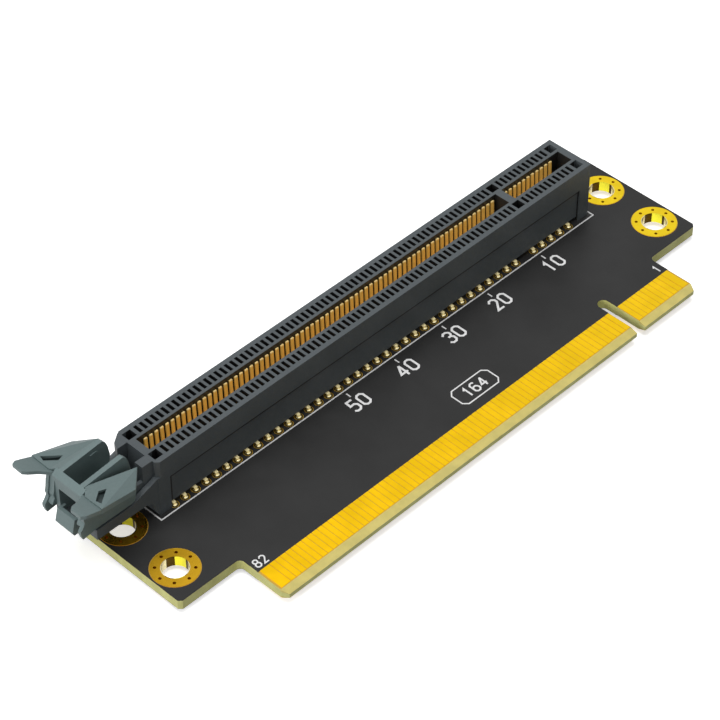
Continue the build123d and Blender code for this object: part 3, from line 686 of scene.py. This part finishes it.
@dataclass(frozen=True)
class GlassLaminate(Finish):
    """Glass-epoxy laminate: bare faces, plies of cloth on the routed edges, a paler bevel at the tip."""

    resin_colour: Colour = (0.58, 0.57, 0.19)
    shade_colour: Colour = (0.4, 0.36, 0.11)
    face_colour: Colour = (0.6, 0.33, 0.015)
    bevel_colour: Colour = (0.68, 0.57, 0.17)
    ply_mm: float = 0.2
    ply_waver: float = 1.2
    ply_stretch: Triple = (0.4, 0.4, 1.0)
    thickness_mm: float = 1.6
    bevel_mm: float = 0.42
    bevel_from_mm: float = -18.2
    face_skin_mm: float = 0.01
    soil_share: float = 0.35
    soil_per_mm: float = 0.6

    def plies(self, surface: Surface) -> Socket:
        """Layers of cloth, one above the other.

        Args:
            surface: Canvas of the material.

        Returns:
            Socket that goes from 0 to 1 and back with each ply.
        """
        stretch = surface.add("ShaderNodeMapping", {"Vector": surface.place, "Scale": self.ply_stretch})
        scale = WAVE_LENGTH / self.ply_mm
        wave = {"Vector": stretch.outputs[0], "Scale": scale, "Distortion": self.ply_waver, "Detail": 2.0}
        return surface.add("ShaderNodeTexWave", wave, bands_direction="Z").outputs[1]

    def tone(self, surface: Surface) -> Socket:
        """Colours the edges, the bevel and the faces apart, and soils them a little.

        Args:
            surface: Canvas of the material.

        Returns:
            The colour's socket.
        """
        _, y, z = surface.axes()
        half = self.thickness_mm / 2
        depth = surface.distance(z, -half)
        near_face = surface.math("GREATER_THAN", depth, half - self.bevel_mm)
        near_tip = surface.math("LESS_THAN", y, self.bevel_from_mm)
        face = surface.math("GREATER_THAN", depth, half - self.face_skin_mm)
        tone = surface.blend(self.plies(surface), self.resin_colour, self.colour)
        tone = surface.blend(surface.all_of(near_face, near_tip), tone, self.bevel_colour)
        tone = surface.blend(face, tone, self.face_colour)
        soil = surface.cloud(0.0, self.soil_share, self.soil_per_mm)
        return surface.blend(soil, tone, self.shade_colour)

    def relief(self, surface: Surface) -> Socket:
        """Grain with the plies in it."""
        return surface.math("ADD", super().relief(surface), self.plies(surface))


def dress(nodes: list[str], finish: Finish, effects: Effects) -> None:
    """Gives CAD nodes a finish.

    Args:
        nodes: Names of the nodes.
        finish: Their finish.
        effects: Shared node groups.
    """
    material = finish.build(effects)
    for node in nodes:
        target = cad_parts[node]
        if target.material_slots:
            for slot in target.material_slots:
                slot.material = material
        else:
            target.data.materials.append(material)
        LOG.info("dressed %s with %s", node, material.name)


# Sub-assemblies


@dataclass(frozen=True)
class CircuitBoard:
    """Board, masks, legend, edge contacts and plated holes."""

    corners: tuple[str, ...] = ("front_left", "front_right", "rear_left", "rear_right")
    laminate: Finish = GlassLaminate(
        "glass_laminate", (0.8, 0.8, 0.34), roughness=0.6, grain_height_mm=0.005,
    )
    mask: Finish = SolderMask(
        "black_solder_mask", (0.018, 0.018, 0.018), roughness=0.5, specular=0.24, grain_height_mm=0.002,
    )
    ink: Finish = PrintedInk("legend_ink", (0.86, 0.86, 0.86), roughness=0.6, grain_height_mm=0.003)
    gold: Finish = WipedPlating(
        "edge_contact_gold", (0.97, 0.58, 0.006), roughness=0.34, grain_per_mm=14.0,
        far_colour=(0.98, 0.64, 0.012),
    )
    rings: Finish = RingPlating(
        "hole_plating_gold", (0.66, 0.38, 0.02), roughness=0.3, far_colour=(1.0, 0.72, 0.02),
    )

    def build(self, effects: Effects) -> None:
        """Dresses every node of the board.

        Args:
            effects: Shared node groups.
        """
        dress(["circuit_board"], self.laminate, effects)
        dress(["solder_mask_top", "solder_mask_bottom"], self.mask, effects)
        dress(["legend_top"], self.ink, effects)
        dress(["edge_contacts_top", "edge_contacts_bottom"], self.gold, effects)
        dress([f"hole_plating_{corner}" for corner in self.corners], self.rings, effects)


@dataclass(frozen=True)
class CardSlot:
    """Housing with its contact rows, pin lands and solder."""

    rows: tuple[str, ...] = ("front_inner", "front_outer", "rear_inner", "rear_outer")
    plastic: Finish = SlotPlastic(
        "housing_plastic", (0.074, 0.087, 0.094), roughness=0.46, specular=0.3, grain_per_mm=9.0,
        fibre_colour=(0.105, 0.118, 0.126),
    )
    strip: Finish = ContactStrip(
        "contact_strip_gold", (1.0, 0.62, 0.13), roughness=0.35, metallic=0.2,
        far_colour=(1.0, 0.64, 0.15),
    )
    lands: Finish = PlatedMetal(
        "pin_land_gold", (0.09, 0.06, 0.01), roughness=0.5, metallic=0.5, far_colour=(0.1, 0.07, 0.012),
    )
    tin: Finish = PlatedMetal(
        "solder_tin", (0.98, 0.86, 0.5), roughness=0.28, roughness_spread=0.08, grain_height_mm=0.006,
        far_colour=(0.98, 0.88, 0.55),
    )

    def build(self, effects: Effects) -> None:
        """Dresses every node of the slot.

        Args:
            effects: Shared node groups.
        """
        dress(["slot_housing"], self.plastic, effects)
        dress([f"slot_contacts_{row}" for row in self.rows], self.strip, effects)
        dress([f"pin_lands_{row}" for row in self.rows], self.lands, effects)
        dress([f"solder_joints_{row}" for row in self.rows], self.tin, effects)


@dataclass(frozen=True)
class LatchLever:
    """Lever with the soft edges of a moulding."""

    node: str = "latch_lever"
    weld_mm: float = 0.0005
    flat_below_degrees: float = 0.4
    edge_mm: float = 0.09
    edge_faces: int = 2
    edge_from_degrees: float = 20.0
    smooth_below_degrees: float = 9.0
    plastic: Finish = LatchPlastic(
        "latch_plastic", (0.135, 0.185, 0.185), roughness=0.4, specular=0.3, grain_per_mm=7.0,
        fibre_colour=(0.18, 0.23, 0.23),
    )

    def joined_copy(self) -> bpy.types.Object:
        """Copies the CAD lever's mesh into a new object with joined faces.

        Returns:
            The new object, selected, at the origin, riding on nothing yet.
        """
        name = f"{self.node}_moulding"
        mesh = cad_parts[self.node].data.copy()
        mesh.name = name
        mesh.materials.clear()
        lever = bpy.data.objects.new(name, mesh)
        bpy.context.scene.collection.objects.link(lever)
        bpy.ops.object.select_all(action="DESELECT")
        lever.select_set(True)
        bpy.context.view_layer.objects.active = lever
        bpy.ops.object.mode_set(mode="EDIT")
        bpy.ops.mesh.select_all(action="SELECT")
        bpy.ops.mesh.remove_doubles(threshold=self.weld_mm * MM)
        bpy.ops.mesh.dissolve_limited(angle_limit=math.radians(self.flat_below_degrees))
        bpy.ops.mesh.normals_make_consistent(inside=False)
        bpy.ops.object.mode_set(mode="OBJECT")
        return lever

    def soften(self, lever: bpy.types.Object) -> None:
        """Rounds the edges of the selected lever and smooths what is nearly flat.

        Args:
            lever: The lever.
        """
        bevel = lever.modifiers.new("rounding", "BEVEL")
        bevel.width = self.edge_mm * MM
        bevel.segments = self.edge_faces
        bevel.limit_method = "ANGLE"
        bevel.angle_limit = math.radians(self.edge_from_degrees)
        bevel.miter_outer = "MITER_ARC"
        bpy.ops.object.modifier_apply(modifier=bevel.name)
        bpy.ops.object.shade_smooth_by_angle(angle=math.radians(self.smooth_below_degrees))

    def build(self, effects: Effects) -> None:
        """Makes the softened lever and hangs it on its body.

        Args:
            effects: Shared node groups.
        """
        plastic = self.plastic.build(effects)
        lever = self.joined_copy()
        self.soften(lever)
        lever.data.materials.append(plastic)
        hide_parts(self.node)
        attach(lever, Body.LEVER.value)
        LOG.info("modelled %s with %d faces", lever.name, len(lever.data.polygons))


# Studio


@dataclass(frozen=True)
class Lamp:
    """Square soft lamp that faces the card."""

    name: str
    place: Triple
    size: float
    power: float

    def hang(self) -> None:
        """Adds the lamp to the scene."""
        bpy.ops.object.light_add(type="AREA", location=self.place)
        light = bpy.context.object
        light.name = self.name
        light.data.shape = "SQUARE"
        light.data.size = self.size
        light.data.energy = self.power
        light.rotation_euler = (-Vector(self.place)).to_track_quat("-Z", "Y").to_euler()


@dataclass(frozen=True)
class Studio:
    """Floor, lamps, world and camera."""

    lamps: tuple[Lamp, ...] = (
        Lamp("overhead_softbox", (-0.1, 0.05, 1.1), 0.8, 9.5),
        Lamp("left_softbox", (-0.9, 0.1, 0.35), 0.5, 4.5),
        Lamp("front_fill", (-0.25, -0.9, 0.5), 0.6, 0.9),
    )
    floor_gap: float = 0.02 * MM
    floor_reach: float = 3.0
    floor_tone: float = 0.9
    unseen_floor_tone: float = 0.3
    floor_lift: float = 0.6
    mirrored_floor_lift: float = 0.15
    world_strength: float = 0.16
    camera_place: Triple = (-205.99 * MM, -193.56 * MM, 270.29 * MM)
    camera_azimuth: float = -45.4914
    camera_elevation: float = 43.6108
    lens_mm: float = 134.69
    film_mm: float = 36.0
    sight: Span = (0.01, 10.0)

    @staticmethod
    def seen_ray(canvas: Canvas) -> Socket:
        """Tells camera rays and those that are mirrored or let through from the rest.

        Args:
            canvas: Canvas of the material or world.

        Returns:
            Socket that is 1 for such rays and 0 for others.
        """
        path = canvas.add("ShaderNodeLightPath").outputs
        mirrored = canvas.math("MAXIMUM", path["Is Glossy Ray"], path["Is Transmission Ray"])
        return canvas.math("MAXIMUM", mirrored, path["Is Camera Ray"])

    def floor(self) -> None:
        """Lays a plain pale floor under the lowest point. It shows white and keeps the shadow."""
        bpy.ops.mesh.primitive_plane_add(size=self.floor_reach, location=(0, 0, CAD_LOW.z - self.floor_gap))
        floor = bpy.context.object
        floor.name = "floor"
        material = bpy.data.materials.new("pale_floor")
        material.use_nodes = True
        material.node_tree.nodes.clear()
        canvas = Canvas(material.node_tree)
        direct = canvas.add("ShaderNodeLightPath").outputs["Is Camera Ray"]
        seen = self.seen_ray(canvas)
        tone = canvas.blend(seen, (self.unseen_floor_tone,) * 3, (self.floor_tone,) * 3)
        paper = canvas.add("ShaderNodeBsdfDiffuse", {"Color": tone})
        lift = canvas.ramp(direct, (0.0, 1.0), (self.mirrored_floor_lift, self.floor_lift))
        glow = canvas.add("ShaderNodeEmission", {"Strength": canvas.math("MULTIPLY", seen, lift)})
        both = canvas.add("ShaderNodeAddShader", {0: paper.outputs[0], 1: glow.outputs[0]})
        canvas.add("ShaderNodeOutputMaterial", {"Surface": both.outputs[0]})
        floor.data.materials.append(material)

    def world(self) -> None:
        """Lights the room evenly and shows white to the camera and in reflections."""
        world = bpy.data.worlds.new("white_room")
        bpy.context.scene.world = world
        world.use_nodes = True
        world.node_tree.nodes.clear()
        canvas = Canvas(world.node_tree)
        strength = canvas.ramp(self.seen_ray(canvas), (0.0, 1.0), (self.world_strength, 1.0))
        sky = canvas.add("ShaderNodeBackground", {"Strength": strength})
        canvas.add("ShaderNodeOutputWorld", {"Surface": sky.outputs[0]})

    def camera(self) -> None:
        """Stands the camera where the photograph was taken from."""
        data = bpy.data.cameras.new("photo_camera")
        camera = bpy.data.objects.new("photo_camera", data)
        bpy.context.scene.collection.objects.link(camera)
        turn, rise = math.radians(self.camera_azimuth), math.radians(self.camera_elevation)
        back = Vector((math.sin(turn) * math.cos(rise), -math.cos(turn) * math.cos(rise), math.sin(rise)))
        camera.location = self.camera_place
        camera.rotation_euler = (-back).to_track_quat("-Z", "Y").to_euler()
        data.lens = self.lens_mm
        data.sensor_width = self.film_mm
        data.clip_start, data.clip_end = self.sight
        bpy.context.scene.camera = camera

    def build(self) -> None:
        """Sets up everything round the card."""
        self.floor()
        self.world()
        for lamp in self.lamps:
            lamp.hang()
        self.camera()
        bpy.context.scene.view_settings.view_transform = "Standard"


def main() -> None:
    """Builds the dressed card and its studio."""
    effects = Effects(mottle_group(), grain_group(), hairline_group())
    CircuitBoard().build(effects)
    CardSlot().build(effects)
    LatchLever().build(effects)
    Studio().build()


if __name__ == "__main__":
    logging.basicConfig(level=logging.INFO)
    main()
